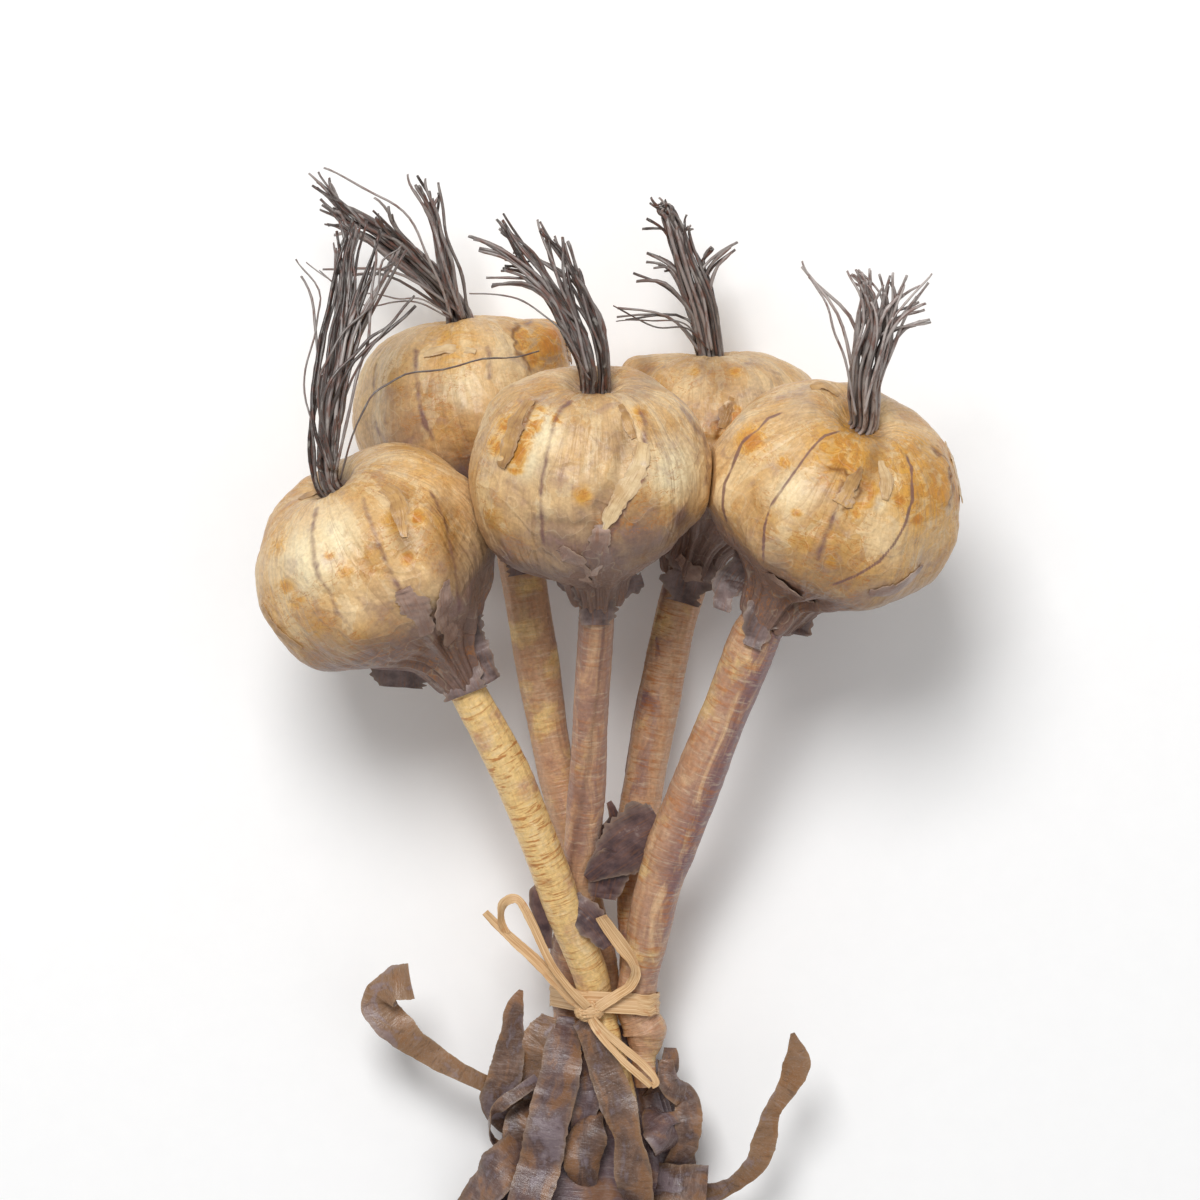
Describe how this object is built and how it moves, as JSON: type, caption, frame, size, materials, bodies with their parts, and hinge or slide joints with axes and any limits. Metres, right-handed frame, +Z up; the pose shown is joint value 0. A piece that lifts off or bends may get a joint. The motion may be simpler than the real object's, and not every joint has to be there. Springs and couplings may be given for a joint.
{
  "type": "bundle of dried garlic",
  "caption": "Bundle of dried garlic plants lying down: whole heads with wiry roots on thick stems, tied with raffia above crinkled dry leaves.",
  "frame": {"origin": "on the floor, under the middle of the bundle's bounding box", "axes": "+Z up, towards the shown side; +Y along the bundle, towards the heads and roots; +X across it"},
  "size_m": [0.1705, 0.3209, 0.1086],
  "materials": {
    "garlic_skin": "papery dried garlic skin, cream to ochre with mauve veins, satin",
    "stem": "dried leaf sheaths wrapped tight, golden to mauve brown, satin",
    "roots": "wiry dried roots, grey brown, dull",
    "dry_leaf": "crinkled dry leaf, brown with a mauve sheen",
    "raffia": "pale straw raffia, fine lengthwise fibres"
  },
  "bodies": {
    "root": {"bulb_1": "garlic_skin", "bulb_2": "garlic_skin", "bulb_3": "garlic_skin", "bulb_4": "garlic_skin", "bulb_5": "garlic_skin", "stem_1": "stem", "stem_2": "stem", "stem_3": "stem", "stem_4": "stem", "stem_5": "stem", "root_tuft_1": "roots", "root_tuft_2": "roots", "root_tuft_3": "roots", "root_tuft_4": "roots", "root_tuft_5": "roots", "dried_leaves": "dry_leaf", "raffia_tie": "raffia"}
  },
  "joints": []
}
